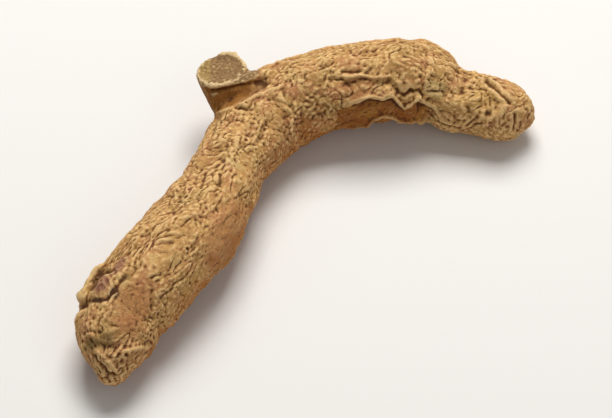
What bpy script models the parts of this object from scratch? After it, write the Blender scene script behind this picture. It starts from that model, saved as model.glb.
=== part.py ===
"""A dried black turmeric rhizome: one bent finger, lying on a flat surface.

It grew as one piece, so it is one solid. The finger, the knob beyond its shoulder, the snapped stump of a
side shoot on its bend and two remains of leaf scales are tubes round curved centre lines, grown together by
a voxel remesh. Formulas then raise and sink the skin: lumps, shrunken folds and furrows along the finger, the
rings that leaf scales left, the open seam under the far leg, creases, torn edges and root scars. Three low
places are cut flat, where it rests.

Lengths are in millimetres until the mesh is finished. Blender's own unit is the metre. Angles round a limb
are in degrees: 0 is its left side, seen from its start, and 90 is its top.
"""

import math

import bmesh
import bpy
import numpy as np
from mathutils import Vector

MM = 0.001
NAME = "rhizome"
COLLECTION = "black_turmeric_rhizome"

# Centre x, y, z and radius at stations along each limb.
FINGER = (
    (-32.3, -34.9, 4.7, 1.4),
    (-32.5, -33.4, 5.4, 2.95),
    (-32.6, -31.1, 6.1, 4.85),
    (-32.6, -27.0, 6.6, 6.7),
    (-30.5, -20.9, 7.4, 7.8),
    (-24.6, -12.6, 9.0, 8.1),
    (-18.9, -4.5, 9.1, 7.8),
    (-14.6, 5.6, 8.4, 6.6),
    (-11.0, 15.6, 7.1, 7.3),
    (-5.2, 22.8, 7.2, 7.6),
    (2.7, 26.7, 8.3, 7.4),
    (10.8, 28.0, 8.9, 7.4),
    (17.3, 28.8, 8.8, 7.7),
    (21.1, 28.9, 8.3, 7.4),
    (24.2, 28.1, 7.9, 6.1),
    (25.9, 27.6, 7.4, 4.2),
    (27.1, 27.2, 7.3, 1.8),
)
KNOB = (
    (19.4, 27.5, 7.4, 3.6),
    (25.9, 26.6, 6.6, 5.6),
    (31.4, 25.6, 5.6, 5.7),
    (35.3, 24.6, 5.3, 5.7),
    (38.4, 23.2, 5.0, 4.4),
    (39.7, 22.5, 4.9, 2.9),
    (40.3, 22.0, 4.9, 1.4),
)
STUMP = (
    (-8.0, 17.2, 7.6, 5.2),
    (-10.9, 20.8, 9.4, 5.1),
    (-13.4, 24.5, 11.2, 4.7),
    (-15.0, 26.9, 13.3, 4.6),
    (-15.7, 28.0, 16.0, 4.6),
)
LEDGE = (
    (-12.4, 24.9, 13.8, 1.4),
    (-10.4, 25.0, 13.9, 1.5),
    (-8.4, 25.3, 13.7, 1.6),
    (-6.8, 25.7, 13.3, 1.5),
    (-5.0, 26.0, 12.9, 1.4),
)
TORN_SCALE = (
    (-34.6, -15.0, 11.9, 0.6),
    (-35.5, -16.4, 12.2, 0.65),
    (-36.8, -18.8, 12.0, 0.6),
    (-37.7, -20.6, 11.4, 0.75),
    (-37.9, -21.4, 11.0, 0.85),
    (-37.4, -22.6, 10.2, 0.7),
)

# The stump's snapped face, which leans away from the shoot's own line.
BREAK_POINT = (-15.2, 27.2, 14.0)
BREAK_NORMAL = (-0.14, 0.20, 0.97)
BREAK_REACH = 4.8
BREAK_DISH = 0.4
BREAK_RIM = 0.3
BREAK_ROUGHNESS = 0.12

# The stump's front, which split off along the shoot.
SPLIT_POINT = (-14.2, 23.05, 14.9)
SPLIT_NORMAL = (0.06, -0.82, 0.545)

# Each limb is thought of as straight, in a block of cells that repeats. The skin's patterns are noise in it,
# kept to waves of one spacing and drawn out along the limb.
CELL = 0.5
BLOCK_CELLS = (280, 72, 72)
LUMPS = {"seed": 11, "spacing": 10.0, "drawn_out": 1.4, "spread": 0.6}
LUMP_HEIGHT = 0.22
FOLDS = {"seed": 1, "spacing": 3.4, "drawn_out": 1.7, "spread": 0.45}
FOLD_DEPTH = 0.42
FURROWS = {"seed": 7, "spacing": 6.0, "drawn_out": 2.4, "spread": 0.4}
FURROW_DEPTH = 0.3
SWIRLS = {"seed": 21, "spacing": 8.0, "drawn_out": 1.3, "spread": 0.6}
SWIRL_REACH = 0.8
SWIRL_SHIFTS = (0.0, 45.0, 90.0)

# Rings left by leaf scales: distance along the finger, lean across it, width and height.
RINGS = (
    (41.0, -2.0, 1.0, 0.22),
    (66.0, 2.5, 1.0, 0.25),
    (94.0, -1.5, 1.1, 0.30),
)
RING_GROOVE = 0.8

# The open seam on the front of the far leg, as (length, angle) points of its lip and of its low edge.
SEAM_LIP = (
    (76, 160),
    (80.7, 155),
    (83, 150),
    (85, 156),
    (87, 153),
    (88.1, 163),
    (89.3, 173),
    (90.4, 169),
    (91.3, 160),
    (93, 156),
    (96.4, 167),
    (98.4, 178),
    (100.9, 182),
    (104.6, 194),
)
SEAM_EDGE = (
    (76, 205),
    (80, 218),
    (82.5, 215),
    (83.8, 193),
    (85.7, 185),
    (87.3, 188),
    (88.7, 206),
    (90.2, 214),
    (93.4, 206),
    (96.5, 208),
    (101.7, 210),
    (104.6, 212),
)
SEAM_RISE = 0.55
SEAM_DEPTH = 1.0
EDGE_RISE = 0.6
UNDER_DEPTH = 0.9

# Raised edges and creases (of negative height): width, height and the points that each one runs through.
LINES = (
    # The tip's crescent scar, and the folds beside it.
    (0.8, -0.45, ((-37.2, -29.6, 10.4), (-36.3, -30.5, 10.5), (-34.4, -31.9, 11.1), (-32.5, -32.0, 11.0))),
    (0.5, 0.5, ((-31.0, -32.5, 10.4), (-29.1, -31.4, 9.7), (-26.5, -28.7, 6.9))),
    (0.5, -0.5, ((-33.6, -23.9, 14.0), (-32.5, -22.6, 14.6), (-30.9, -20.6, 15.2))),
    # The curled edge of the wrinkled skin round the stump's foot.
    (0.5, 0.6, ((-16.2, 19.7, 11.1), (-15.1, 18.9, 12.6), (-14.0, 18.7, 13.4), (-13.3, 19.2, 14.2))),
    (0.5, 0.7, ((-13.3, 19.2, 14.2), (-12.7, 19.9, 14.8), (-11.7, 19.0, 14.4), (-10.8, 18.3, 14.2))),
    (0.6, 0.5, ((-11.7, 19.0, 14.4), (-9.6, 19.9, 14.5), (-7.8, 20.6, 14.4))),
    (0.6, 0.5, ((-7.8, 20.6, 14.4), (-6.4, 21.4, 14.6), (-5.0, 22.0, 14.7))),
    # The bare band between that edge and the stump, and the groove under the stump's snapped rim.
    (1.4, -0.4, ((-14.6, 20.6, 14.6), (-13.0, 20.8, 15.1), (-11.2, 21.2, 15.2))),
    (1.2, -0.4, ((-11.2, 21.2, 15.2), (-9.4, 21.9, 15.0), (-7.4, 22.6, 14.6), (-5.4, 23.2, 14.5))),
    (0.45, -0.4, ((-18.2, 22.0, 13.8), (-15.7, 22.2, 14.1), (-13.2, 22.6, 14.4), (-9.6, 23.2, 14.8))),
    (0.45, -0.4, ((-9.6, 23.2, 14.8), (-8.5, 23.7, 14.4), (-6.4, 23.6, 14.6))),
    # The shoulder above the seam, and the fold under it.
    (0.5, -0.5, ((15.6, 23.1, 13.9), (17.0, 22.3, 12.9), (18.7, 22.8, 13.2))),
    (0.5, -0.5, ((18.7, 22.8, 13.2), (20.5, 22.9, 13.1), (21.2, 22.5, 12.0))),
    (0.5, -0.4, ((20.7, 21.6, 9.6), (22.6, 22.1, 6.8), (24.8, 21.3, 5.7), (27.6, 20.6, 5.2))),
    # The dip between the finger and the knob, and the folds of the knob's end.
    (0.8, -0.5, ((29.3, 30.6, 9.4), (29.0, 29.0, 10.8), (28.6, 26.7, 11.9), (28.0, 24.2, 11.6))),
    (0.6, -0.15, ((28.0, 24.2, 11.6), (28.7, 22.4, 10.4), (29.5, 21.2, 9.0), (30.4, 20.3, 7.3))),
    (0.5, -0.6, ((32.6, 26.7, 11.0), (33.6, 25.5, 11.1), (35.0, 23.6, 10.8), (36.4, 22.6, 10.1))),
    (0.5, -0.7, ((37.5, 21.0, 8.7), (37.7, 20.2, 7.4), (37.6, 19.8, 5.7))),
)

# Round root scars: limb, length, angle, radius, and the height of the rim and the depth of the pit.
MARKS = (
    ("finger", 3.6, 120, 0.6, 0.2, 0.5),
    ("finger", 27.0, 298, 1.3, 0.45, 0.55),
    ("finger", 38.0, 205, 1.1, 0.40, 0.5),
    ("finger", 51.0, 330, 1.3, 0.45, 0.55),
    ("finger", 73.0, 12, 1.2, 0.45, 0.5),
    ("finger", 87.0, 320, 1.4, 0.50, 0.6),
    ("knob", 14.3, 124, 2.4, 0.3, 0.0),
    ("knob", 14.5, 140, 0.9, 0.2, 0.3),
)

# Places on the finger where the skin is nearly smooth: length, angle, half the length and half the width.
BARE = (
    (34.0, 165, 9.0, 6.0),
    (11.7, 112, 9.0, 4.5),
)
BARE_SHARE = 0.6

# How much of the pattern each limb's skin has.
SKIN_SHARE = {"finger": 1.0, "knob": 1.0, "stump": 0.35}

# The three low places where the rhizome rests, as x, y and the radius that is kept smooth.
REST_SPOTS = ((-30.7, -21.5, 5.0), (-7.4, 20.2, 5.5), (34.7, 24.8, 4.0))

# How finely the skin is made, how many points are placed at a time, and the triangles that the solid keeps.
BATCH = 20000
PATH_STEP = 0.5
VOXEL = 0.42
BLEND_ROUNDS = 8
TRIANGLES = 11500


def unit(vectors):
    """The vectors at length one."""
    vectors = np.asarray(vectors, float)
    return vectors / np.linalg.norm(vectors, axis=-1, keepdims=True)


def smooth_path(stations):
    """Catmull-Rom curve through the stations, as rows of x, y, z and radius about PATH_STEP apart."""
    rows = np.array(stations, float)
    padded = np.vstack([2 * rows[0] - rows[1], rows, 2 * rows[-1] - rows[-2]])
    path = []
    for before, start, end, after in zip(padded, padded[1:], padded[2:], padded[3:]):
        count = max(2, round(np.linalg.norm(end[:3] - start[:3]) / PATH_STEP))
        for t in np.arange(count) / count:
            path.append(
                0.5
                * (
                    2 * start
                    + (end - before) * t
                    + (2 * before - 5 * start + 4 * end - after) * t**2
                    + (3 * start - before - 3 * end + after) * t**3
                )
            )
    return np.array(path + [rows[-1]])


class Limb:
    """A round limb: its centre line, its radius there, and the directions that travel along with it."""

    def __init__(self, stations):
        path = smooth_path(stations)
        self.points, self.radii = path[:, :3], path[:, 3]
        self.tangents = unit(np.gradient(self.points, axis=0))
        self.sides = unit(np.cross((0, 0, 1), self.tangents))
        self.ups = np.cross(self.tangents, self.sides)
        steps = np.linalg.norm(np.diff(self.points, axis=0), axis=1)
        self.lengths = np.concatenate([[0.0], np.cumsum(steps)])

    def tube(self):
        """The limb as a mesh, swept along its centre line, in metres."""
        data = bpy.data.curves.new("limb", "CURVE")
        data.dimensions = "3D"
        data.bevel_depth = MM
        data.bevel_resolution = 6
        data.use_fill_caps = True
        spline = data.splines.new("POLY")
        spline.points.add(len(self.points) - 1)
        for knot, point, radius in zip(spline.points, self.points, self.radii):
            knot.co = (*(point * MM), 1.0)
            knot.radius = radius
        curve = bpy.data.objects.new("limb", data)
        bpy.context.scene.collection.objects.link(curve)
        graph = bpy.context.evaluated_depsgraph_get()
        mesh = bpy.data.meshes.new_from_object(curve.evaluated_get(graph))
        bpy.data.objects.remove(curve)
        return mesh

    def place(self, points):
        """Each point's place in the straightened limb (along, to the side, up), and its height over it."""
        nearest = np.empty(len(points), int)
        for start in range(0, len(points), BATCH):
            block = points[start : start + BATCH, None] - self.points[None]
            nearest[start : start + BATCH] = np.einsum("ijk,ijk->ij", block, block).argmin(1)
        offset = points - self.points[nearest]
        along = self.lengths[nearest] + np.einsum("ij,ij->i", offset, self.tangents[nearest])
        side = np.einsum("ij,ij->i", offset, self.sides[nearest])
        up = np.einsum("ij,ij->i", offset, self.ups[nearest])
        height = np.linalg.norm(offset, axis=1) - self.radii[nearest]
        return np.column_stack([along, side, up]), height

    def on_skin(self, length, angle):
        """The point of the limb's skin at this length and at this angle round it, in degrees."""
        i = int(np.abs(self.lengths - length).argmin())
        turn = math.radians(angle)
        out = self.sides[i] * math.cos(turn) + self.ups[i] * math.sin(turn)
        return self.points[i] + out * self.radii[i]


def cut(shape, point, normal):
    """Cuts away what lies beyond the plane, and closes the shape with a flat face there."""
    everything = shape.verts[:] + shape.edges[:] + shape.faces[:]
    bmesh.ops.bisect_plane(shape, geom=everything, plane_co=point, plane_no=normal, clear_outer=True)
    rims = [edge for edge in shape.edges if edge.is_boundary]
    bmesh.ops.holes_fill(shape, edges=rims, sides=0)


def stump_mesh(limb):
    """The side shoot's tube, snapped off aslant and split along its front."""
    shape = bmesh.new()
    shape.from_mesh(limb.tube())
    bmesh.ops.remove_doubles(shape, verts=shape.verts, dist=0.01 * MM)
    cut(shape, Vector(BREAK_POINT) * MM, Vector(BREAK_NORMAL))
    cut(shape, Vector(SPLIT_POINT) * MM, Vector(SPLIT_NORMAL))
    mesh = bpy.data.meshes.new("stump")
    shape.to_mesh(mesh)
    shape.free()
    return mesh


def grown_together(meshes):
    """One object round all the meshes, with one closed skin that is eased where they meet."""
    shape = bmesh.new()
    for mesh in meshes:
        shape.from_mesh(mesh)
        bpy.data.meshes.remove(mesh)
    bmesh.ops.remove_doubles(shape, verts=shape.verts, dist=0.01 * MM)
    body = bpy.data.objects.new(NAME, bpy.data.meshes.new(NAME))
    shape.to_mesh(body.data)
    shape.free()
    grow = body.modifiers.new("grow_together", "REMESH")
    grow.mode = "VOXEL"
    grow.voxel_size = VOXEL * MM
    ease = body.modifiers.new("ease", "SMOOTH")
    ease.factor = 0.5
    ease.iterations = BLEND_ROUNDS
    return body


def apply_modifiers(body):
    """Gives the object the mesh that its modifiers make."""
    graph = bpy.context.evaluated_depsgraph_get()
    old = body.data
    body.data = bpy.data.meshes.new_from_object(body.evaluated_get(graph))
    body.modifiers.clear()
    bpy.data.meshes.remove(old)


def bell(distance, width):
    """One at no distance, falling smoothly to nothing beyond about twice the width."""
    return np.exp(-((distance / width) ** 2))


def ramp(value, start, end):
    """Zero up to start, one from end on, and smooth between."""
    t = np.clip((value - start) / (end - start), 0.0, 1.0)
    return t * t * (3.0 - 2.0 * t)


def banded(seed, spacing, drawn_out, spread, rounds=1):
    """A block of noise whose waves are about this far apart. More rounds make them more alike."""
    waves = [np.fft.fftfreq(count, CELL) for count in BLOCK_CELLS]
    reach = np.sqrt((waves[0][:, None, None] * drawn_out) ** 2 + waves[1][:, None] ** 2 + waves[2] ** 2)
    band = np.exp(-(((reach * spacing - 1) / spread) ** 2))
    block = np.random.default_rng(seed).standard_normal(BLOCK_CELLS)
    for _ in range(rounds):
        block = np.fft.ifftn(np.fft.fftn(block) * band).real
        block = np.tanh(1.1 * block / block.std())
    block = np.fft.ifftn(np.fft.fftn(block) * band).real
    return block / block.std()


def read_block(block, spots):
    """The block's value at each spot, between its eight nearest cells."""
    cells = spots / CELL
    low = np.floor(cells).astype(int)
    share = cells - low
    total = np.zeros(len(spots))
    for corner in np.ndindex(2, 2, 2):
        weight = np.where(corner, share, 1 - share).prod(axis=1)
        total += weight * block[tuple(((low + corner) % BLOCK_CELLS).T)]
    return total


def skin_pattern(spots):
    """Height of lumps, folds and furrows at each place in a straightened limb."""
    swirls = banded(**SWIRLS, rounds=0)
    sway = np.column_stack([read_block(swirls, spots + (shift, 0, 0)) for shift in SWIRL_SHIFTS])
    swayed = spots + SWIRL_REACH * sway
    lumps = read_block(banded(**LUMPS, rounds=0), spots)
    folds = np.clip(read_block(banded(**FOLDS), swayed) / 3.4 + 0.5, 0.0, 1.0) ** 0.8 - 0.5
    furrows = ramp(read_block(banded(**FURROWS), swayed), 0.6, 2.2)
    return LUMP_HEIGHT * lumps + FOLD_DEPTH * folds - FURROW_DEPTH * furrows


def angle_and_radius(spots):
    """Angle round the limb, in radians, and distance from its centre line."""
    return np.arctan2(spots[:, 2], spots[:, 1]), np.hypot(spots[:, 1], spots[:, 2])


def rings(spots):
    """Raised rings where leaf scales sat, each with a groove on the side towards the tip."""
    angle, _ = angle_and_radius(spots)
    heights = 0.0
    for length, lean, width, height in RINGS:
        ragged = 0.6 * np.sin(5 * angle + length) + 0.4 * np.sin(11 * angle + 2 * length)
        gap = spots[:, 0] - length - lean * np.cos(angle) - ragged
        heights = heights + height * bell(gap, width) - RING_GROOVE * height * bell(gap + 1.8 * width, width)
    return heights


def seam(spots):
    """The open fold on the front of the far leg: a wavy lip, sunken skin under it, and a scalloped low edge.

    Gives the height, and how far each place is inside the fold, from nothing to one.
    """
    along, (angle, radius) = spots[:, 0], angle_and_radius(spots)
    lip_line, edge_line = np.array(SEAM_LIP, float), np.array(SEAM_EDGE, float)
    turn = np.degrees(angle) % 360
    lip = np.interp(along, lip_line[:, 0], lip_line[:, 1])
    edge = np.interp(along, edge_line[:, 0], edge_line[:, 1])
    below = np.radians(turn - lip) * radius
    width = np.radians(edge - lip) * radius
    start, end = lip_line[0, 0], lip_line[-1, 0]
    share = ramp(along, start, start + 5) * (1 - ramp(along, end - 3, end))
    hollow = ramp(below, -0.2, 0.6) * np.clip(1 - below / np.maximum(width, 1.0), 0.0, 1.0)
    under = ramp(below - width, 0.5, 1.6) * (1 - ramp(below - width, 2.5, 6.0))
    rises = SEAM_RISE * bell(below + 0.6, 0.6) + EDGE_RISE * bell(below - width, 0.6)
    inside = ramp(below, 0.0, 0.6) * (1 - ramp(below - width, -0.8, 0.2))
    return share * (rises - SEAM_DEPTH * hollow - UNDER_DEPTH * under), share * inside


def line_height(points, width, height, line):
    """How far a raised edge or a crease moves each point out."""
    least = np.full(len(points), np.inf)
    for start, end in zip(line, line[1:]):
        run = np.subtract(end, start)
        offset = points - start
        share = np.clip(offset @ run / (run @ run), 0.0, 1.0)
        least = np.minimum(least, np.linalg.norm(offset - share[:, None] * run, axis=1))
    return height * bell(least, width)


def mark(points, centre, radius, rim, pit):
    """A round mark: a raised rim, and a pit inside it."""
    distance = np.linalg.norm(points - centre, axis=1)
    return rim * bell(distance - radius, 0.45 * radius) - pit * bell(distance, 0.65 * radius)


def bare_share(spots):
    """One in the middle of the finger's smooth places, and nothing outside them."""
    angle, radius = angle_and_radius(spots)
    most = np.zeros(len(spots))
    for length, degrees, half_length, half_width in BARE:
        turn = (angle - math.radians(degrees) + math.pi) % (2 * math.pi) - math.pi
        gap = np.hypot((spots[:, 0] - length) / half_length, turn * radius / half_width)
        most = np.maximum(most, 1 - ramp(gap, 0.45, 1.15))
    return most


def relief(points, limbs):
    """How far each point of the skin moves out."""
    placed = {name: limb.place(points) for name, limb in limbs.items()}
    closeness = {name: np.exp(-height / 0.6) for name, (_, height) in placed.items()}
    total = sum(closeness.values())
    shares = {name: close / total for name, close in closeness.items()}
    spots = {name: place for name, (place, _) in placed.items()}
    moved = sum(SKIN_SHARE[name] * shares[name] * skin_pattern(spots[name]) for name in limbs)
    seam_height, in_seam = seam(spots["finger"])
    smooth = np.maximum(bare_share(spots["finger"]), in_seam)
    moved = moved * (1 - BARE_SHARE * smooth * shares["finger"])
    moved += shares["finger"] * (rings(spots["finger"]) + seam_height)
    for width, height, line in LINES:
        moved += line_height(points, width, height, line)
    for name, length, degrees, radius, rim, pit in MARKS:
        moved += shares[name] * mark(points, limbs[name].on_skin(length, degrees), radius, rim, pit)
    skin = (1 - face_share(points)) * (1 - rest_share(points))
    return moved * skin + snapped_face(points, angle_and_radius(spots["stump"])[0])


def face_share(points):
    """One on the stump's snapped face, and nothing on the skin."""
    offset = points - np.array(BREAK_POINT)
    near = np.linalg.norm(offset, axis=1) / BREAK_REACH
    return ramp(offset @ unit(BREAK_NORMAL), -0.8, -0.3) * (1 - ramp(near, 1.4, 1.6))


def rest_share(points):
    """One at the three low places where the rhizome rests, and nothing elsewhere."""
    share = 0.0
    for x, y, radius in REST_SPOTS:
        near = np.hypot(points[:, 0] - x, points[:, 1] - y)
        share = share + (1 - ramp(near, 0.7 * radius, 1.2 * radius)) * (1 - ramp(points[:, 2], 1.0, 2.5))
    return share


def snapped_face(points, angle):
    """Height over the stump's flat face: a dished middle, torn fibres and a ragged rim."""
    near = np.linalg.norm(points - np.array(BREAK_POINT), axis=1) / BREAK_REACH
    dish = 1 - ramp(near, 0.45, 0.95)
    ragged = 0.6 + 0.5 * np.sin(2 * angle + 0.6) + 0.35 * np.sin(5 * angle) + 0.25 * np.sin(11 * angle)
    fibres = read_block(banded(**FOLDS), points)
    height = BREAK_RIM * ragged * bell(near - 0.93, 0.14) - BREAK_DISH * dish + BREAK_ROUGHNESS * fibres
    return face_share(points) * height


def raise_skin(body, limbs):
    """Moves each vertex along its normal by the relief there."""
    count = len(body.data.vertices)
    places, normals = np.empty(count * 3), np.empty(count * 3)
    body.data.vertices.foreach_get("co", places)
    body.data.vertices.foreach_get("normal", normals)
    points, normals = places.reshape(-1, 3) / MM, normals.reshape(-1, 3)
    points += normals * relief(points, limbs)[:, None]
    body.data.vertices.foreach_set("co", (points * MM).ravel())
    body.data.update()


def thin_out(body):
    """Keeps TRIANGLES triangles, where the form needs them most."""
    thin = body.modifiers.new("thin_out", "DECIMATE")
    thin.ratio = TRIANGLES / (2 * len(body.data.polygons))
    apply_modifiers(body)


def flatten_underside(body):
    """Cuts the lowest places flat, where the rhizome rests, and puts the origin at the middle of its base."""
    shape = bmesh.new()
    shape.from_mesh(body.data)
    cut(shape, (0, 0, 0), (0, 0, -1))
    bmesh.ops.triangulate(shape, faces=shape.faces[:])
    low = [min(vert.co[axis] for vert in shape.verts) for axis in range(3)]
    high = [max(vert.co[axis] for vert in shape.verts) for axis in range(3)]
    middle = Vector(((low[0] + high[0]) / 2, (low[1] + high[1]) / 2, low[2]))
    bmesh.ops.translate(shape, verts=shape.verts, vec=-middle)
    shape.to_mesh(body.data)
    shape.free()


def skin_material():
    """Dull brown dried skin."""
    material = bpy.data.materials.new("dried_skin")
    material.use_nodes = True
    shader = material.node_tree.nodes["Principled BSDF"]
    shader.inputs["Base Color"].default_value = (0.33, 0.19, 0.085, 1.0)
    shader.inputs["Roughness"].default_value = 0.82
    shader.inputs["Metallic"].default_value = 0.0
    return material


def main():
    for old in list(bpy.data.objects):
        bpy.data.objects.remove(old)
    parts = bpy.data.collections.new(COLLECTION)
    bpy.context.scene.collection.children.link(parts)
    limbs = {"finger": Limb(FINGER), "knob": Limb(KNOB), "stump": Limb(STUMP)}
    tubes = [limbs["finger"].tube(), limbs["knob"].tube(), stump_mesh(limbs["stump"])]
    body = grown_together([*tubes, Limb(LEDGE).tube(), Limb(TORN_SCALE).tube()])
    parts.objects.link(body)
    apply_modifiers(body)
    raise_skin(body, limbs)
    thin_out(body)
    flatten_underside(body)
    body.data.materials.append(skin_material())
    body.data.shade_smooth()


main()
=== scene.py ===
"""Looks of a dried black turmeric rhizome: a bent finger on a pale floor under soft studio light.

The finger, the knob beyond its shoulder and the snapped stump of a side shoot are grown together
again as in the solid, on a finer mesh. The same formulas raise the same folds, seam and scars, and
a finer net of wrinkles goes on top. Masks that are measured on that mesh, such as how sunken each
place is, carry the colours, with painted shade in the hollows, in dark gaps and towards the
underside, and painted highlights on the crests.

Lengths are in millimetres until the mesh is finished. Angles round a limb are in degrees: 0 is its
left side, seen from its start, and 90 is its top.
"""

import functools
import logging
import math
from dataclasses import dataclass, field
from enum import Enum

import bmesh
import bpy
import numpy as np
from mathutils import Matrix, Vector


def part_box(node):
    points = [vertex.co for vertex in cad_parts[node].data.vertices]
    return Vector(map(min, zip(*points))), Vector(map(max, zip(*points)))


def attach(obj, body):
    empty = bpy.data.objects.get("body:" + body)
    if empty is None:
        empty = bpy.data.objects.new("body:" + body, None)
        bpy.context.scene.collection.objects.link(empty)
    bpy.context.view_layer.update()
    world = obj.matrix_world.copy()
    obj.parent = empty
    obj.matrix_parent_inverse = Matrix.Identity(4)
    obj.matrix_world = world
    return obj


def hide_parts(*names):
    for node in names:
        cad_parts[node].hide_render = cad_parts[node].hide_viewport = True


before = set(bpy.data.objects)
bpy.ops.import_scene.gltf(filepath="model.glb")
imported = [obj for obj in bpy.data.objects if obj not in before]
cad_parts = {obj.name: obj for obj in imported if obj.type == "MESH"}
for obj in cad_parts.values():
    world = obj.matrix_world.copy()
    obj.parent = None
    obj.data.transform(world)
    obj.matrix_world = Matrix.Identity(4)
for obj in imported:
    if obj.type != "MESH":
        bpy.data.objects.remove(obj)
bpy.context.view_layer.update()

MM = 0.001
MERGE_DISTANCE = 0.01 * MM
BLOCK_CELLS = (280, 72, 72)
WAVE_EVENING = 1.1

log = logging.getLogger("rhizome")

Colour = tuple[float, float, float, float]
Point = tuple[float, float, float]
Station = tuple[float, float, float, float]
Socket = bpy.types.NodeSocket
Value = Socket | float | Colour | Point


class LimbName(Enum):
    """The limbs that the skin's patterns follow."""

    FINGER = "finger"
    KNOB = "knob"
    STUMP = "stump"


def paint(red: int, green: int, blue: int) -> Colour:
    """A colour as it looks on a screen, made linear.

    Args:
        red: Red from 0 to 255.
        green: Green from 0 to 255.
        blue: Blue from 0 to 255.

    Returns:
        The linear colour, with an alpha of one.
    """
    linear = [
        ((c / 255 + 0.055) / 1.055) ** 2.4 if c > 10 else c / 255 / 12.92
        for c in (red, green, blue)
    ]
    return linear[0], linear[1], linear[2], 1.0


def unit(vectors: np.ndarray) -> np.ndarray:
    """The vectors at length one."""
    vectors = np.asarray(vectors, float)
    return vectors / np.linalg.norm(vectors, axis=-1, keepdims=True)


def bell(distance: np.ndarray, width: float) -> np.ndarray:
    """One at no distance, falling smoothly to nothing beyond about twice the width."""
    return np.exp(-((distance / width) ** 2))


def ramp(value: np.ndarray, start: float, end: float) -> np.ndarray:
    """Zero up to start, one from end on, and smooth between."""
    t = np.clip((value - start) / (end - start), 0.0, 1.0)
    return t * t * (3.0 - 2.0 * t)


def linked(name: str, data: bpy.types.ID) -> bpy.types.Object:
    """A new object in the scene.

    Args:
        name: Its name.
        data: The mesh, curve, light or camera that it shows.

    Returns:
        The object.
    """
    thing = bpy.data.objects.new(name, data)
    bpy.context.scene.collection.objects.link(thing)
    return thing


@dataclass(frozen=True)
class SkinNoise:
    """Noise in the space of a limb that is thought of as straight, kept to waves of one spacing.

    Attributes:
        seed: Seed of the random draw.
        spacing: Distance between waves across the limb.
        drawn_out: How many times longer the waves are along the limb.
        spread: How far the spacing may stray, as a share of it.
        rounds: More rounds make the waves more alike.
        cell: Size of the block's cells.
    """

    seed: int
    spacing: float
    drawn_out: float
    spread: float
    rounds: int = 1
    cell: float = 0.5

    def read(self, spots: np.ndarray) -> np.ndarray:
        """The noise at each spot, between its eight nearest cells.

        Args:
            spots: Rows of length along the limb, and distance to its side and upwards.

        Returns:
            The noise, of about one in size.
        """
        block = noise_block(self)
        cells = spots / self.cell
        low = np.floor(cells).astype(int)
        share = cells - low
        total = np.zeros(len(spots))
        for corner in np.ndindex(2, 2, 2):
            weight = np.where(corner, share, 1 - share).prod(axis=1)
            total += weight * block[tuple(((low + corner) % BLOCK_CELLS).T)]
        return total


@functools.cache
def noise_block(noise: SkinNoise) -> np.ndarray:
    """The block of cells of a skin noise, made once.

    Each round presses its highs and lows together, so that its waves become more alike.

    Args:
        noise: The noise's settings.

    Returns:
        Its cells, of about one in size.
    """
    along, side, up = (np.fft.fftfreq(count, noise.cell) for count in BLOCK_CELLS)
    stretched = (along[:, None, None] * noise.drawn_out) ** 2
    reach = np.sqrt(stretched + side[:, None] ** 2 + up**2)
    band = bell(reach * noise.spacing - 1, noise.spread)
    block = np.random.default_rng(noise.seed).standard_normal(BLOCK_CELLS)
    for _ in range(noise.rounds):
        block = np.fft.ifftn(np.fft.fftn(block) * band).real
        block = np.tanh(WAVE_EVENING * block / block.std())
    block = np.fft.ifftn(np.fft.fftn(block) * band).real
    return block / block.std()


@dataclass
class Place:
    """Where points lie on one limb.

    Attributes:
        spots: Rows of length along the limb, and distance to its side and upwards.
        height: Height over its skin.
    """

    spots: np.ndarray
    height: np.ndarray

    @property
    def along(self) -> np.ndarray:
        """Length along the limb."""
        return self.spots[:, 0]

    @property
    def angle(self) -> np.ndarray:
        """Angle round the limb, in radians."""
        return np.arctan2(self.spots[:, 2], self.spots[:, 1])

    @property
    def radius(self) -> np.ndarray:
        """Distance from the limb's centre line."""
        return np.hypot(self.spots[:, 1], self.spots[:, 2])


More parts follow.
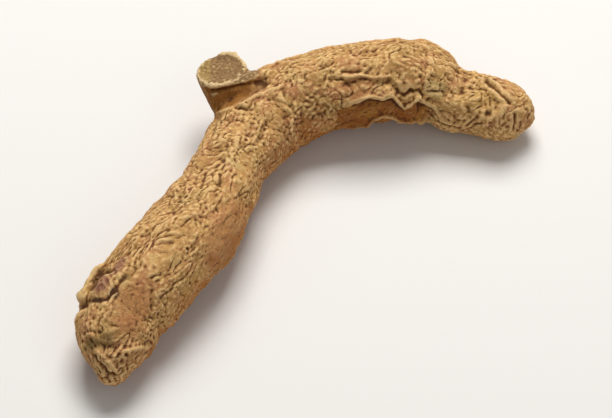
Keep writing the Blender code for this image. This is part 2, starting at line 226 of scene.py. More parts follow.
class Limb:
    """A round limb: its centre line, its radius, and the directions that travel along with it."""

    PATH_STEP = 0.5
    TUBE_RESOLUTION = 8
    POINTS_AT_ONCE = 20000

    def __init__(self, stations: tuple[Station, ...]) -> None:
        """Runs a smooth curve through the stations.

        Args:
            stations: Centre x, y, z and radius at each station.
        """
        path = self.smooth_path(stations)
        self.points, self.radii = path[:, :3], path[:, 3]
        self.tangents = unit(np.gradient(self.points, axis=0))
        self.sides = unit(np.cross((0, 0, 1), self.tangents))
        self.ups = np.cross(self.tangents, self.sides)
        steps = np.linalg.norm(np.diff(self.points, axis=0), axis=1)
        self.lengths = np.concatenate([[0.0], np.cumsum(steps)])

    def smooth_path(self, stations: tuple[Station, ...]) -> np.ndarray:
        """Catmull-Rom curve through the stations.

        Args:
            stations: Centre x, y, z and radius at each station.

        Returns:
            Rows of x, y, z and radius about PATH_STEP apart.
        """
        rows = np.array(stations, float)
        padded = np.vstack([2 * rows[0] - rows[1], rows, 2 * rows[-1] - rows[-2]])
        path = []
        for before, start, end, after in zip(padded, padded[1:], padded[2:], padded[3:]):
            count = max(2, round(np.linalg.norm(end[:3] - start[:3]) / self.PATH_STEP))
            for t in np.arange(count) / count:
                first = 2 * start + (end - before) * t
                second = (2 * before - 5 * start + 4 * end - after) * t**2
                third = (3 * start - before - 3 * end + after) * t**3
                path.append(0.5 * (first + second + third))
        return np.array(path + [rows[-1]])

    def tube(self) -> bpy.types.Mesh:
        """The limb as a mesh, swept along its centre line.

        Returns:
            The mesh, in metres.
        """
        data = bpy.data.curves.new("limb", "CURVE")
        data.dimensions = "3D"
        data.bevel_depth = MM
        data.bevel_resolution = self.TUBE_RESOLUTION
        data.use_fill_caps = True
        spline = data.splines.new("POLY")
        spline.points.add(len(self.points) - 1)
        for knot, point, radius in zip(spline.points, self.points, self.radii):
            knot.co = (*(point * MM), 1.0)
            knot.radius = radius
        curve = linked("limb", data)
        graph = bpy.context.evaluated_depsgraph_get()
        mesh = bpy.data.meshes.new_from_object(curve.evaluated_get(graph))
        bpy.data.objects.remove(curve)
        return mesh

    def place(self, points: np.ndarray) -> Place:
        """Finds where points lie on the limb.

        Args:
            points: Rows of x, y and z.

        Returns:
            Their places on it.
        """
        nearest = np.empty(len(points), int)
        for start in range(0, len(points), self.POINTS_AT_ONCE):
            some = slice(start, start + self.POINTS_AT_ONCE)
            gaps = points[some, None] - self.points[None]
            nearest[some] = np.einsum("ijk,ijk->ij", gaps, gaps).argmin(1)
        offset = points - self.points[nearest]
        along = np.einsum("ij,ij->i", offset, self.tangents[nearest])
        side = np.einsum("ij,ij->i", offset, self.sides[nearest])
        up = np.einsum("ij,ij->i", offset, self.ups[nearest])
        height = np.linalg.norm(offset, axis=1) - self.radii[nearest]
        return Place(np.column_stack([self.lengths[nearest] + along, side, up]), height)

    def on_skin(self, length: float, angle: float) -> np.ndarray:
        """A point of the limb's skin.

        Args:
            length: Its length along the limb.
            angle: Its angle round it.

        Returns:
            Its x, y and z.
        """
        i = int(np.abs(self.lengths - length).argmin())
        turn = math.radians(angle)
        out = self.sides[i] * math.cos(turn) + self.ups[i] * math.sin(turn)
        return self.points[i] + out * self.radii[i]


@dataclass(frozen=True)
class Line:
    """A raised edge that runs through points in space, or a crease if its height is negative."""

    width: float
    height: float
    points: tuple[Point, ...]

    def raised(self, points: np.ndarray) -> np.ndarray:
        """How far the line moves each point out.

        Args:
            points: Rows of x, y and z.

        Returns:
            The heights there.
        """
        least = np.full(len(points), np.inf)
        for start, end in zip(self.points, self.points[1:]):
            run = np.subtract(end, start)
            offset = points - start
            share = np.clip(offset @ run / (run @ run), 0.0, 1.0)
            least = np.minimum(least, np.linalg.norm(offset - share[:, None] * run, axis=1))
        return self.height * bell(least, self.width)


@dataclass(frozen=True)
class Mark:
    """A round scar with a raised rim and a pit, or a bead if the pit is negative.

    Attributes:
        length: Where it is along its limb.
        angle: Its angle round the limb.
        radius: Its radius.
        rim: How high its rim stands.
        pit: How deep it is.
        limb: The limb that it is on.
    """

    length: float
    angle: float
    radius: float
    rim: float
    pit: float
    limb: LimbName = LimbName.FINGER


@dataclass(frozen=True)
class Patch:
    """An oval patch of skin that differs, in colour or in how rough it is.

    Attributes:
        length: Where its middle is along its limb.
        angle: The angle of its middle round the limb.
        half_length: Half its size along the limb.
        half_width: Half its size round it.
        limb: The limb that it is on.
    """

    length: float
    angle: float
    half_length: float
    half_width: float
    limb: LimbName = LimbName.FINGER

    def share(self, place: Place) -> np.ndarray:
        """One in the middle of the patch, falling to nothing at its edge.

        Args:
            place: Places on the patch's limb.

        Returns:
            The share at each place.
        """
        turn = (place.angle - math.radians(self.angle) + math.pi) % (2 * math.pi) - math.pi
        across = turn * place.radius / self.half_width
        along = (place.along - self.length) / self.half_length
        return 1 - ramp(np.hypot(along, across), 0.3, 1.25)


@dataclass(frozen=True)
class Wrinkling:
    """The pattern that runs all over the skin, from wide lumps down to fine crinkles."""

    SWAY_SHIFTS = (0.0, 45.0, 90.0)

    lumps: SkinNoise = SkinNoise(11, 10.0, 1.4, 0.6, rounds=0)
    lump_height: float = 0.22
    folds: SkinNoise = SkinNoise(1, 3.4, 1.7, 0.45)
    fold_depth: float = 0.36
    fold_range: float = 3.4
    fold_power: float = 0.8
    furrows: SkinNoise = SkinNoise(7, 6.0, 2.4, 0.4)
    furrow_depth: float = 0.3
    swirls: SkinNoise = SkinNoise(21, 8.0, 1.3, 0.6, rounds=0)
    swirl_reach: float = 0.8
    ridges: SkinNoise = SkinNoise(41, 1.15, 1.25, 0.55, rounds=0, cell=0.2)
    ridge_height: float = 0.07
    creases: SkinNoise = SkinNoise(61, 3.0, 1.5, 0.55, rounds=0, cell=0.25)
    crease_depth: float = 0.16
    worms: SkinNoise = SkinNoise(71, 3.0, 1.2, 0.55, rounds=0, cell=0.25)
    worm_height: float = 0.1
    crinkles: SkinNoise = SkinNoise(47, 0.75, 1.1, 0.6, rounds=0, cell=0.2)
    crinkle_height: float = 0.035
    calm: SkinNoise = SkinNoise(53, 7.0, 1.2, 0.6, rounds=0)

    def pattern(self, place: Place) -> np.ndarray:
        """Height of lumps, furrows, folds, wrinkles and crinkles.

        Args:
            place: Places on a limb.

        Returns:
            The heights there.
        """
        spots = place.spots
        sway = [self.swirls.read(spots + (shift, 0, 0)) for shift in self.SWAY_SHIFTS]
        sway = np.column_stack(sway)
        swayed = spots + self.swirl_reach * sway
        folds = np.clip(self.folds.read(swayed) / self.fold_range + 0.5, 0.0, 1.0)
        folds = folds**self.fold_power - 0.5
        furrows = -ramp(self.furrows.read(swayed), 0.6, 2.2)
        height = self.lump_height * self.lumps.read(spots)
        height += self.fold_depth * folds + self.furrow_depth * furrows
        return height + self.wrinkles(spots, sway)

    def wrinkles(self, spots: np.ndarray, sway: np.ndarray) -> np.ndarray:
        """Height of the fine net of wrinkles and of the crinkles between them.

        Args:
            spots: Rows of length along a limb, and distance to its side and upwards.
            sway: How the pattern strays there.

        Returns:
            The heights there.
        """
        swayed = spots + 0.5 * self.swirl_reach * sway
        calm = self.calm.read(spots)
        ridges = (0.45 + 0.75 * ramp(calm, -1.2, 1.2)) * self.ridges.read(swayed)
        worms = ramp(calm, -0.8, 0.8) * bell(self.worms.read(swayed), 0.4)
        creases = ramp(-calm, -1.0, 0.6) * bell(self.creases.read(swayed), 0.32)
        height = self.ridge_height * ridges + self.worm_height * worms - self.crease_depth * creases
        return height + self.crinkle_height * self.crinkles.read(swayed)


@dataclass(frozen=True)
class Seam:
    """The open fold on the far leg's front: a wavy lip, sunken skin and a scalloped low edge.

    The lip and the edge are rows of length along the finger and angle round it.
    """

    LIP_WIDTH = 0.35

    lip: tuple[tuple[float, float], ...] = (
        (76, 160), (80.7, 155), (83, 150), (85, 156), (87, 153), (88.1, 163), (89.3, 173),
        (90.4, 169), (91.3, 160), (93, 156), (96.4, 167), (98.4, 178), (100.9, 182), (104.6, 194),
    )
    edge: tuple[tuple[float, float], ...] = (
        (76, 205), (80, 218), (82.5, 215), (83.8, 193), (85.7, 185), (87.3, 188), (88.7, 206),
        (90.2, 214), (93.4, 206), (96.5, 208), (101.7, 210), (104.6, 212),
    )
    rise: float = 0.55
    depth: float = 1.0
    edge_rise: float = 0.6
    under_depth: float = 0.9

    def shape(self, place: Place) -> tuple[np.ndarray, np.ndarray, np.ndarray, np.ndarray]:
        """How the fold shapes the skin.

        Args:
            place: Places on the finger.

        Returns:
            The height, then from nothing to one how far each place is inside the fold, on one of
            its two raised edges, which are painted paler as a highlight, and in the gap right under
            the lip, which is painted near black as shadow. The colour of the inside starts further
            back along the finger than its shape does.
        """
        lip = np.interp(place.along, *zip(*self.lip))
        edge = np.interp(place.along, *zip(*self.edge))
        below = np.radians(np.degrees(place.angle) % 360 - lip) * place.radius
        width = np.radians(edge - lip) * place.radius
        beyond = below - width
        start, end = self.lip[0][0], self.lip[-1][0]
        last = 1 - ramp(place.along, end - 3, end)
        share = ramp(place.along, start + 1, start + 8) * last
        tint_share = ramp(place.along, start - 2, start + 2) * last
        hollow = ramp(below, -0.2, 0.6) * np.clip(1 - below / np.maximum(width, 1.0), 0.0, 1.0)
        under = ramp(beyond, 0.5, 1.6) * (1 - ramp(beyond, 2.5, 6.0))
        rises = self.rise * bell(below + 0.5, 0.5) + self.edge_rise * bell(beyond, 0.5)
        inside = ramp(below, 0.0, 0.6) * (1 - ramp(beyond, -0.8, 0.2))
        lips = np.maximum(bell(below + 0.45, self.LIP_WIDTH), bell(beyond, self.LIP_WIDTH))
        gap = bell(below - 0.45, 0.4)
        height = share * (rises - self.depth * hollow - self.under_depth * under)
        return height, tint_share * inside, share * lips, share * gap


@dataclass(frozen=True)
class SnappedFace:
    """The stump's broken end: a dished face with a bevel, torn fibres and a ragged rim.

    Left of the bevel's start, an x, the face falls away. The stump's front is split off along a
    second plane, so that the face has a straight edge there.
    """

    point: Point = (-15.2, 27.2, 14.0)
    normal: Point = (-0.14, 0.20, 0.97)
    reach: float = 4.8
    dish: float = 0.4
    rim: float = 0.3
    roughness: float = 0.15
    grain: float = 0.07
    bevel_start: float = -16.9
    bevel_slope: float = 0.2
    split_point: Point = (-14.2, 23.05, 14.9)
    split_normal: Point = (0.06, -0.82, 0.545)

    def snapped(self, limb: Limb) -> bpy.types.Mesh:
        """A limb's tube, snapped off aslant and split along its front.

        Args:
            limb: The limb.

        Returns:
            Its closed mesh, in metres.
        """
        shape = bmesh.new()
        shape.from_mesh(limb.tube())
        bmesh.ops.remove_doubles(shape, verts=shape.verts, dist=MERGE_DISTANCE)
        for point, normal in ((self.point, self.normal), (self.split_point, self.split_normal)):
            bmesh.ops.bisect_plane(
                shape,
                geom=shape.verts[:] + shape.edges[:] + shape.faces[:],
                plane_co=Vector(point) * MM,
                plane_no=Vector(normal),
                clear_outer=True,
            )
            open_edges = [edge for edge in shape.edges if edge.is_boundary]
            bmesh.ops.holes_fill(shape, edges=open_edges, sides=0)
        mesh = bpy.data.meshes.new("stump")
        shape.to_mesh(mesh)
        shape.free()
        return mesh

    def distance(self, points: np.ndarray) -> np.ndarray:
        """Distance from the middle of the face, as a share of its reach."""
        return np.linalg.norm(points - self.point, axis=1) / self.reach

    def share(self, points: np.ndarray) -> np.ndarray:
        """One on the face, and nothing on the skin."""
        over = (points - self.point) @ unit(self.normal)
        return ramp(over, -0.8, -0.3) * (1 - ramp(self.distance(points), 1.4, 1.6))

    def height(self, points: np.ndarray, angle: np.ndarray, skin: Wrinkling) -> np.ndarray:
        """Height over the flat cut.

        Args:
            points: Rows of x, y and z.
            angle: Angles round the stump, in radians.
            skin: The pattern whose folds and crinkles make its fibres and its grain.

        Returns:
            The heights there.
        """
        near = self.distance(points)
        ragged = 0.6 + 0.5 * np.sin(2 * angle + 0.6)
        ragged += 0.35 * np.sin(5 * angle) + 0.25 * np.sin(11 * angle)
        height = self.rim * ragged * bell(near - 0.93, 0.14)
        height -= self.dish * (1 - ramp(near, 0.45, 0.95))
        height -= self.bevel_slope * np.clip(self.bevel_start - points[:, 0], 0.0, None)
        height += self.roughness * skin.folds.read(points)
        height += self.grain * skin.crinkles.read(points)
        return self.share(points) * height


@dataclass
class SkinRelief:
    """Everything that raises or sinks the skin, with the masks that its colours follow.

    A leaf ring is its length along the finger, its lean, its width and its height. A rest spot is
    its x, its y and its radius. The calms are how much weaker the pattern is on bare skin and in
    the seam, stump_share is how much of it the stump has, and join_reach is how far the patterns
    of two limbs mix where they meet.
    """

    skin: Wrinkling = Wrinkling()
    seam: Seam = Seam()
    face: SnappedFace = SnappedFace()
    rings: tuple[tuple[float, ...], ...] = (
        (41.0, -2.0, 1.0, 0.22),
        (66.0, 2.5, 1.0, 0.25),
        (94.0, -1.5, 1.1, 0.30),
    )
    ring_groove: float = 0.8
    lines: tuple[Line, ...] = (
        # Creases along the leg.
        Line(0.35, -0.45, ((-17.4, 2.2, 15.7), (-18.1, -1.8, 16.1))),
        Line(0.35, -0.5, ((-14.8, 1.9, 15.5), (-14.9, -3.7, 15.2))),
        Line(0.4, -0.45, ((-26.3, -20.3, 14.9), (-26.2, -24.8, 12.4))),
        # The flap by the thick tip: its groove, the gap under it, the strand and the notch.
        Line(0.45, -0.4, ((-37.0, -22.7, 11.9), (-35.2, -23.9, 13.2), (-33.6, -23.9, 14.0))),
        Line(0.5, -0.5, ((-33.6, -23.9, 14.0), (-32.5, -22.6, 14.6), (-30.9, -20.6, 15.2))),
        Line(0.7, -1.2, (
            (-36.0, -20.2, 12.5), (-35.6, -19.1, 12.8), (-34.8, -17.4, 13.1), (-33.2, -18.1, 14.4),
        )),
        Line(0.5, 0.6, (
            (-38.2, -20.6, 10.2), (-37.4, -18.9, 11.4), (-36.4, -17.0, 12.0), (-35.2, -15.6, 12.9),
        )),
        Line(0.9, -0.9, ((-38.6, -23.0, 8.6), (-38.4, -22.9, 9.6), (-37.6, -23.4, 11.3))),
        # The ridge across the leg.
        Line(0.4, 0.35, (
            (-25.3, -12.0, 16.5), (-23.2, -13.0, 16.4), (-20.9, -12.8, 15.7), (-18.8, -11.2, 15.4),
        )),
        # Folds on the tip, and the stripes at its end.
        Line(0.35, -0.45, ((-37.9, -28.6, 10.3), (-36.5, -29.0, 11.6), (-34.8, -29.6, 12.2))),
        Line(0.35, 0.35, (
            (-37.2, -29.1, 11.0), (-35.1, -30.8, 11.5), (-33.4, -31.4, 11.5), (-31.7, -31.0, 11.6),
        )),
        Line(0.8, -0.4, ((-36.3, -30.5, 10.5), (-34.4, -31.9, 11.1), (-32.5, -32.0, 11.0))),
        Line(0.35, 0.25, ((-37.2, -31.2, 9.7), (-34.7, -32.7, 10.4), (-32.4, -33.1, 10.4))),
        Line(0.5, 0.5, ((-31.0, -32.5, 10.4), (-29.1, -31.4, 9.7), (-26.5, -28.7, 6.9))),
        Line(0.35, -0.5, ((-35.6, -32.4, 9.2), (-34.4, -33.7, 8.6), (-33.1, -34.8, 7.3))),
        Line(0.35, 0.4, ((-34.8, -32.3, 9.9), (-33.4, -33.4, 9.4), (-32.4, -34.5, 8.0))),
        Line(0.3, -0.45, ((-35.0, -33.8, 7.7), (-34.2, -34.8, 5.6))),
        Line(0.3, -0.45, ((-33.8, -34.4, 7.9), (-33.2, -35.3, 5.7))),
        Line(0.3, -0.45, ((-32.6, -34.7, 7.7), (-32.1, -35.3, 5.6))),
        # Creases on the far leg and its shoulder, and the raised edge between them.
        Line(0.4, -0.55, (
            (15.6, 23.1, 13.9), (16.7, 22.4, 13.1), (17.6, 22.3, 12.7), (18.7, 22.8, 13.2),
        )),
        Line(0.4, -0.55, ((18.7, 22.8, 13.2), (20.5, 22.9, 13.1), (21.2, 22.5, 12.0))),
        Line(0.35, -0.5, ((21.9, 23.2, 12.5), (24.6, 23.6, 11.7))),
        Line(0.3, -0.45, ((6.4, 25.4, 15.6), (9.2, 25.2, 15.6))),
        Line(0.4, 0.35, (
            (7.1, 24.2, 15.1), (10.0, 24.7, 15.4), (12.1, 24.2, 15.1), (14.9, 24.6, 15.2),
            (16.7, 23.6, 14.4),
        )),
        Line(0.6, -0.3, (
            (7.1, 23.2, 14.6), (10.0, 23.6, 14.9), (12.1, 23.2, 14.7), (14.9, 23.5, 14.8),
        )),
        # The crease and the hollow between the shoulder and the knob.
        Line(0.4, -0.4, (
            (20.7, 21.6, 9.6), (22.6, 22.1, 6.8), (24.8, 21.3, 5.7), (27.6, 20.6, 5.2),
        )),
        Line(0.8, -0.5, (
            (29.3, 30.6, 9.4), (29.0, 29.0, 10.8), (28.6, 26.7, 11.9), (28.0, 24.2, 11.6),
        )),
        Line(0.6, -0.2, (
            (28.0, 24.2, 11.6), (28.7, 22.4, 10.4), (29.5, 21.2, 9.0), (30.4, 20.3, 7.3),
        )),
        # Grooves on the knob.
        Line(0.45, -0.7, (
            (32.6, 26.7, 11.0), (33.6, 25.5, 11.1), (35.0, 23.6, 10.8), (36.4, 22.6, 10.1),
        )),
        Line(0.4, 0.3, (
            (33.3, 27.2, 10.9), (34.4, 25.9, 10.9), (35.8, 24.2, 10.5), (37.2, 23.0, 9.6),
        )),
        Line(0.4, -0.7, ((37.5, 21.0, 8.7), (37.7, 20.2, 7.4), (37.6, 19.8, 5.7))),
        # The torn collar under the stump, and the creases and hollows beside it.
        Line(0.5, 0.5, (
            (-16.2, 19.7, 11.1), (-15.1, 18.9, 12.6), (-14.0, 18.7, 13.4), (-13.3, 19.2, 14.2),
        )),
        Line(0.4, 0.7, (
            (-13.3, 19.2, 14.2), (-12.7, 19.9, 14.8), (-11.7, 19.0, 14.4), (-10.8, 18.3, 14.2),
        )),
        Line(0.5, 0.5, ((-11.7, 19.0, 14.4), (-9.6, 19.9, 14.5), (-7.8, 20.6, 14.4))),
        Line(0.5, 0.5, ((-7.8, 20.6, 14.4), (-6.4, 21.4, 14.6), (-5.0, 22.0, 14.7))),
        Line(0.35, -0.4, (
            (-12.6, 18.6, 14.0), (-11.6, 18.0, 14.0), (-10.6, 17.5, 14.0), (-9.6, 17.5, 14.1),
        )),
        Line(1.4, -0.4, ((-14.6, 20.6, 14.6), (-13.0, 20.8, 15.1), (-11.2, 21.2, 15.2))),
        Line(1.2, -0.4, (
            (-11.2, 21.2, 15.2), (-9.4, 21.9, 15.0), (-7.4, 22.6, 14.6), (-5.4, 23.2, 14.5),
        )),
        Line(0.45, -0.4, (
            (-18.2, 22.0, 13.8), (-15.7, 22.2, 14.1), (-13.2, 22.6, 14.4), (-9.6, 23.2, 14.8),
        )),
        Line(0.45, -0.4, ((-9.6, 23.2, 14.8), (-8.5, 23.7, 14.4), (-6.4, 23.6, 14.6))),
    )
    marks: tuple[Mark, ...] = (
        # Small scars on top.
        Mark(3.6, 120, 0.6, 0.2, 0.5),
        Mark(34.6, 76, 0.55, 0.1, 0.45),
        Mark(51.1, 110, 0.5, 0.1, 0.4),
        Mark(26.8, 126, 0.5, 0.1, 0.4),
        # Root scars on the sides and underneath.
        Mark(27.0, 298, 1.3, 0.45, 0.55),
        Mark(38.0, 205, 1.1, 0.40, 0.5),
        Mark(51.0, 330, 1.3, 0.45, 0.55),
        Mark(73.0, 12, 1.2, 0.45, 0.5),
        Mark(87.0, 320, 1.4, 0.50, 0.6),
        # The scar on the knob.
        Mark(14.3, 124, 2.4, 0.3, 0.0, LimbName.KNOB),
        Mark(14.5, 140, 0.9, 0.2, 0.3, LimbName.KNOB),
        # The bead beside the strand.
        Mark(12.2, 30, 1.2, 0.0, -0.75),
    )
    bare_calm: float = 0.35
    seam_calm: float = 0.15
    stump_share: float = 0.35
    join_reach: float = 0.6
    rest_spots: tuple[Point, ...] = ((-30.7, -21.5, 5.0), (-7.4, 20.2, 5.5), (34.7, 24.8, 4.0))
    rough: tuple[Patch, ...] = (
        Patch(28.0, 62, 15.0, 5.0), Patch(53.0, 80, 6.5, 5.0), Patch(4.5, 75, 5.0, 6.0),
    )
    rough_gain: float = 0.5
    bare: tuple[Patch, ...] = (
        Patch(34.0, 160, 9.0, 6.0), Patch(11.5, 113, 8.0, 4.2), Patch(5.2, 62, 1.6, 4.5),
    )
    ruddy: tuple[Patch, ...] = (
        Patch(34.0, 160, 9.0, 6.0), Patch(11.5, 113, 8.0, 4.2), Patch(62.0, 165, 16.0, 5.0),
        Patch(80.0, 138, 6.0, 2.6), Patch(3.0, 62, 1.5, 3.5), Patch(3.6, 125, 2.0, 4.0),
        Patch(22.5, 140, 2.5, 4.0, LimbName.KNOB),
    )
    golden: tuple[Patch, ...] = (
        Patch(24.0, 165, 4.0, 2.5), Patch(97.0, 130, 4.0, 4.0),
        Patch(12.0, 115, 6.0, 5.0, LimbName.KNOB),
    )
    pale: tuple[Patch, ...] = (
        Patch(45.5, 109, 1.0, 2.6), Patch(14.0, 32, 3.4, 0.9), Patch(97.5, 135, 4.5, 2.2),
        Patch(99.5, 146, 3.0, 1.8),
    )
    mossy: tuple[Patch, ...] = (
        Patch(5.2, 60, 1.3, 4.2), Patch(16.0, 88, 1.6, 1.4),
    )
    purple: tuple[Patch, ...] = (
        Patch(13.8, 60, 2.6, 2.0), Patch(18.0, 69, 2.8, 1.7),
    )
    flap_height: float = 0.25
    # Small grooves by the flap at the thick tip, painted near black as shadow.
    dark: tuple[Patch, ...] = (
        Patch(13.0, 83, 1.7, 1.1), Patch(11.3, 62, 0.6, 2.8), Patch(15.4, 46, 1.7, 0.8),
    )

    def leaf_rings(self, place: Place) -> np.ndarray:
        """Raised rings where leaf scales sat, each with a groove on the side towards the tip.

        Args:
            place: Places on the finger.

        Returns:
            The heights there.
        """
        heights, turn = np.zeros(len(place.along)), place.angle
        for length, lean, width, height in self.rings:
            ragged = 0.6 * np.sin(5 * turn + length) + 0.4 * np.sin(11 * turn + 2 * length)
            gap = place.along - length - lean * np.cos(turn) - ragged
            heights += height * bell(gap, width)
            heights -= height * self.ring_groove * bell(gap + 1.8 * width, width)
        return heights

    def rest_share(self, points: np.ndarray) -> np.ndarray:
        """Finds the three low places where the rhizome rests.

        Args:
            points: Rows of x, y and z.

        Returns:
            One there, and nothing elsewhere.
        """
        share, low = np.zeros(len(points)), 1 - ramp(points[:, 2], 1.0, 2.5)
        for x, y, radius in self.rest_spots:
            near = np.hypot(points[:, 0] - x, points[:, 1] - y)
            share += (1 - ramp(near, 0.7 * radius, 1.2 * radius)) * low
        return share

    def covered(
        self,
        patches: tuple[Patch, ...],
        places: dict[LimbName, Place],
        shares: dict[LimbName, np.ndarray],
    ) -> np.ndarray:
        """One in the middle of any of the patches, and nothing outside them.

        Args:
            patches: The patches.
            places: The points' places on each limb.
            shares: How much each point belongs to each limb.

        Returns:
            The share at each point.
        """
        most = np.zeros(len(places[LimbName.FINGER].height))
        for patch in patches:
            most = np.maximum(most, shares[patch.limb] * patch.share(places[patch.limb]))
        return most

    def marked(
        self, points: np.ndarray, limbs: dict[LimbName, Limb], shares: dict[LimbName, np.ndarray]
    ) -> tuple[np.ndarray, np.ndarray]:
        """The scars and the bead.

        Args:
            points: Rows of x, y and z.
            limbs: The limbs that the marks are on.
            shares: How much each point belongs to each limb.

        Returns:
            The height at each point, and one in the middle of each pit.
        """
        height, pits = np.zeros(len(points)), np.zeros(len(points))
        for mark in self.marks:
            middle = limbs[mark.limb].on_skin(mark.length, mark.angle)
            distance = np.linalg.norm(points - middle, axis=1)
            rim = mark.rim * bell(distance - mark.radius, 0.45 * mark.radius)
            hole = bell(distance, 0.65 * mark.radius)
            height += shares[mark.limb] * (rim - mark.pit * hole)
            pits = np.maximum(pits, hole if mark.pit > 0 else 0.0)
        return height, pits

    def measure(
        self, points: np.ndarray, limbs: dict[LimbName, Limb]
    ) -> tuple[np.ndarray, dict[str, np.ndarray]]:
        """How far each point of the skin moves out, and the masks for its colours.

        Args:
            points: Rows of x, y and z.
            limbs: The limbs that the patterns follow.

        Returns:
            The heights, and each mask by name, from nothing to one.
        """
        places = {name: limb.place(points) for name, limb in limbs.items()}
        near = {name: np.exp(-place.height / self.join_reach) for name, place in places.items()}
        total = sum(near.values())
        shares = {name: close / total for name, close in near.items()}
        finger, stump = places[LimbName.FINGER], places[LimbName.STUMP]
        on_finger, on_stump = shares[LimbName.FINGER], shares[LimbName.STUMP]
        on = functools.partial(self.covered, places=places, shares=shares)
        bare, purple = on(self.bare), on(self.purple)
        seam_height, in_seam, lips, gap = self.seam.shape(finger)
        in_seam = in_seam * on_finger
        moved = np.zeros(len(points))
        for name, place in places.items():
            gain = self.stump_share if name is LimbName.STUMP else 1.0
            moved += gain * shares[name] * self.skin.pattern(place)
        moved *= 1 + self.rough_gain * on(self.rough)
        moved *= 1 - self.bare_calm * np.maximum(bare, purple)
        moved *= 1 - self.seam_calm * in_seam
        moved += self.flap_height * purple
        moved += on_finger * (self.leaf_rings(finger) + seam_height)
        moved += sum(line.raised(points) for line in self.lines)
        mark_height, pits = self.marked(points, limbs, shares)
        moved += mark_height
        face = self.face.share(points)
        moved *= (1 - face) * (1 - self.rest_share(points))
        moved += self.face.height(points, stump.angle, self.skin)
        lift = finger.spots[:, 2] / np.maximum(finger.radius, 0.1)
        masks = {
            "face": face,
            "bevel": face * ramp(self.face.bevel_start - points[:, 0], -0.2, 0.6),
            "rim": bell(self.face.distance(points) - 1.0, 0.25) * ramp(on_stump, 0.4, 0.8),
            "neck": on_stump * (1 - face) * ramp(stump.along, 5.5, 7.0),
            "seam": in_seam,
            "bare": np.maximum(bare, 0.6 * purple),
            "scar": pits,
            "tip": on_finger * (1 - ramp(finger.along, 2.0, 9.0)),
            # Painted shade: the finger's skin is made darker and redder towards its underside,
            # where shade falls.
            "under": on_finger * 0.5 * (1 - lift),
            "ruddy": on(self.ruddy),
            "golden": on(self.golden),
            "pale": on(self.pale),
            "mossy": on(self.mossy),
            "purple": purple,
            # Painted highlight: paler on the seam's two raised edges.
            "lip": on_finger * lips,
            # Painted shadow: near black in the grooves by the flap and in the gap right under the
            # seam's lip.
            "dark": np.maximum(on(self.dark), on_finger * gap),
        }
        return moved, masks


